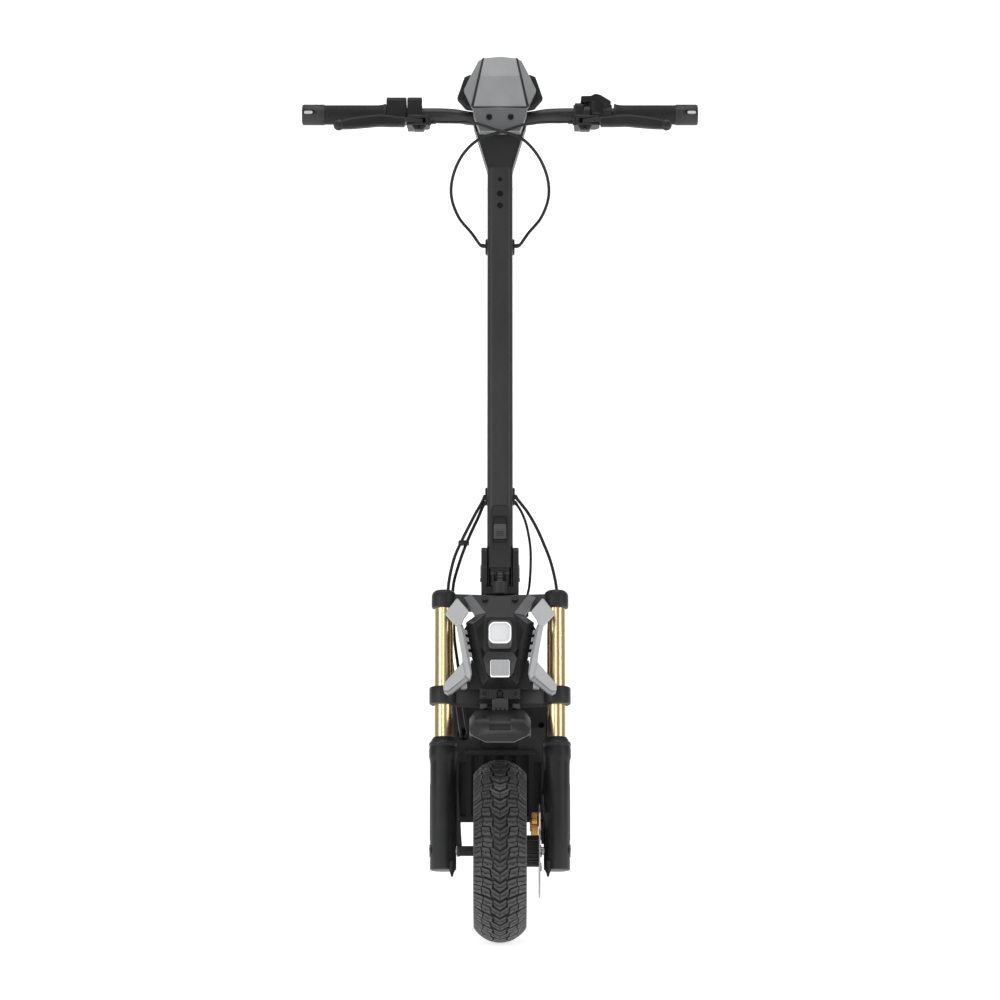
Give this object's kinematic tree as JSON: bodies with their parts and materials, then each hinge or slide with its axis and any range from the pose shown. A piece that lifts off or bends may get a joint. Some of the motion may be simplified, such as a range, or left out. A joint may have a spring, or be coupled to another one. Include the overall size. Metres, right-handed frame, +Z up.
{
  "type": "electric kick scooter",
  "caption": "Folding electric kick scooter with a sprung double-crown fork, tall stem, handlebar, long deck and a rear swingarm.",
  "frame": {"origin": "on the ground, midway between the two wheel centres and between the bar ends", "axes": "+Z up, -Y towards the front of the scooter, +X to the rider's left"},
  "size_m": [0.615, 1.301, 1.3434],
  "materials": {
    "black_metal": "satin black powder coat on aluminium",
    "dark_grey_plastic": "fine-grained dark grey plastic",
    "silver_metal": "satin silver paint on aluminium",
    "hood_grey": "satin warm grey paint on plastic",
    "gold_anodised": "gold anodised, polished",
    "copper_anodised": "copper-orange anodised",
    "steel": "brushed steel",
    "tyre_rubber": "black tyre rubber",
    "grip_rubber": "soft black rubber",
    "black_plastic": "matte black plastic",
    "lamp_lens": "frosted clear lens over white LED reflector",
    "red_lens": "clear red lens",
    "hose_black": "glossy black hose"
  },
  "bodies": {
    "frame": {"frame_neck": "black_metal", "neck_grille": "black_plastic", "deck_shell": "black_metal", "deck_bottom_cover": "black_metal", "deck_mat": "grip_rubber", "battery_pack": "dark_grey_plastic", "controller_box": "silver_metal", "swingarm_pin": "steel"},
    "steering": {"lower_crown": "black_metal", "upper_crown": "black_metal", "stanchion_left": "gold_anodised", "stanchion_right": "gold_anodised", "fold_base": "black_metal", "fold_pin": "steel", "headlight_mask": "black_plastic", "lamp_lens_upper": "lamp_lens", "lamp_lens_lower": "lamp_lens", "blade_left": "silver_metal", "blade_right": "silver_metal", "front_fender": "dark_grey_plastic", "hose_lower_left_outer": "hose_black", "hose_lower_left_inner": "hose_black", "hose_lower_right_outer": "hose_black", "hose_lower_right_inner": "hose_black"},
    "fork_lowers": {"fork_leg_left": "black_metal", "fork_leg_right": "black_metal", "front_axle": "steel", "front_caliper": "copper_anodised"},
    "front_wheel": {"front_tyre": "tyre_rubber", "front_rim": "black_metal", "front_disc": "steel"},
    "stem": {"stem_tube": "black_metal", "stem_head": "black_metal", "handlebar": "black_metal", "grip_left": "grip_rubber", "grip_right": "grip_rubber", "bar_end_left": "black_plastic", "bar_end_right": "black_plastic", "throttle_housing": "black_plastic", "switch_housing": "black_plastic", "brake_clamp_left": "black_metal", "brake_clamp_right": "black_metal", "display_body": "black_plastic", "display_hood": "hood_grey", "hose_upper_left": "hose_black", "hose_upper_right": "hose_black"},
    "fold_slider": {"fold_slider": "dark_grey_plastic"},
    "throttle_paddle": {"throttle_paddle": "dark_grey_plastic"},
    "brake_lever_left": {"brake_lever_left": "black_metal"},
    "brake_lever_right": {"brake_lever_right": "black_metal"},
    "horn_button": {"horn_button": "copper_anodised"},
    "kickstand": {"kickstand_leg": "black_metal"},
    "swingarm": {"swingarm": "black_metal", "rear_axle": "steel", "rear_caliper": "copper_anodised", "rear_fender": "black_plastic", "tail_light": "red_lens"},
    "rear_wheel": {"rear_tyre": "tyre_rubber", "rear_hub_motor": "black_metal", "rear_disc": "steel"}
  },
  "joints": [
    {"name": "steering", "type": "hinge", "parent": "frame", "child": "steering", "pos_m": [0, -0.42203, 0.42858], "axis": [0, 0.2079, 0.9781], "range_deg": [-40, 40], "deforming": ["hose_lower_left_outer", "hose_lower_left_inner"]},
    {"name": "fork_travel", "type": "slide", "parent": "steering", "child": "fork_lowers", "axis": [0, 0.2079, 0.9781], "range_m": [0, 0.035], "stiffness_N_per_m": 9000, "springref_m": -0.05, "deforming": ["hose_lower_right_outer"]},
    {"name": "front_wheel_spin", "type": "hinge", "parent": "fork_lowers", "child": "front_wheel", "pos_m": [0, -0.515, 0.1355], "axis": [1, 0, 0], "continuous": true},
    {"name": "stem_fold", "type": "hinge", "parent": "steering", "child": "stem", "pos_m": [0, -0.37702, 0.54803], "axis": [-1, 0, 0], "range_deg": [0, 90], "deforming": ["hose_lower_right_inner"]},
    {"name": "fold_slide", "type": "slide", "parent": "stem", "child": "fold_slider", "axis": [0, 0.2079, 0.9781], "range_m": [0, 0.008], "stiffness_N_per_m": 300, "springref_m": -0.004},
    {"name": "brake_left", "type": "hinge", "parent": "stem", "child": "brake_lever_left", "pos_m": [-0.128, -0.27388, 1.24103], "axis": [0, -0.2079, -0.9781], "range_deg": [0, 14], "stiffness_Nm_per_rad": 3, "springref_deg": -11.46},
    {"name": "brake_right", "type": "hinge", "parent": "stem", "child": "brake_lever_right", "pos_m": [0.136, -0.27388, 1.24103], "axis": [0, 0.2079, 0.9781], "range_deg": [0, 14], "stiffness_Nm_per_rad": 3, "springref_deg": -11.46},
    {"name": "throttle", "type": "hinge", "parent": "stem", "child": "throttle_paddle", "pos_m": [-0.16, -0.21826, 1.25016], "axis": [-1, 0, 0], "range_deg": [0, 20], "stiffness_Nm_per_rad": 0.6, "springref_deg": -8.59},
    {"name": "horn", "type": "slide", "parent": "stem", "child": "horn_button", "axis": [0, -0.9781, 0.2079], "range_m": [0, 0.002], "stiffness_N_per_m": 400, "springref_m": -0.001},
    {"name": "kickstand", "type": "hinge", "parent": "frame", "child": "kickstand", "pos_m": [0.079, -0.095, 0.156], "axis": [-1, 0, 0], "range_deg": [0, 95]},
    {"name": "swingarm", "type": "hinge", "parent": "frame", "child": "swingarm", "pos_m": [0, 0.275, 0.19], "axis": [1, 0, 0], "range_deg": [0, 8], "stiffness_Nm_per_rad": 700, "springref_deg": -8.02},
    {"name": "rear_wheel_spin", "type": "hinge", "parent": "swingarm", "child": "rear_wheel", "pos_m": [0, 0.515, 0.1355], "axis": [1, 0, 0], "continuous": true}
  ]
}
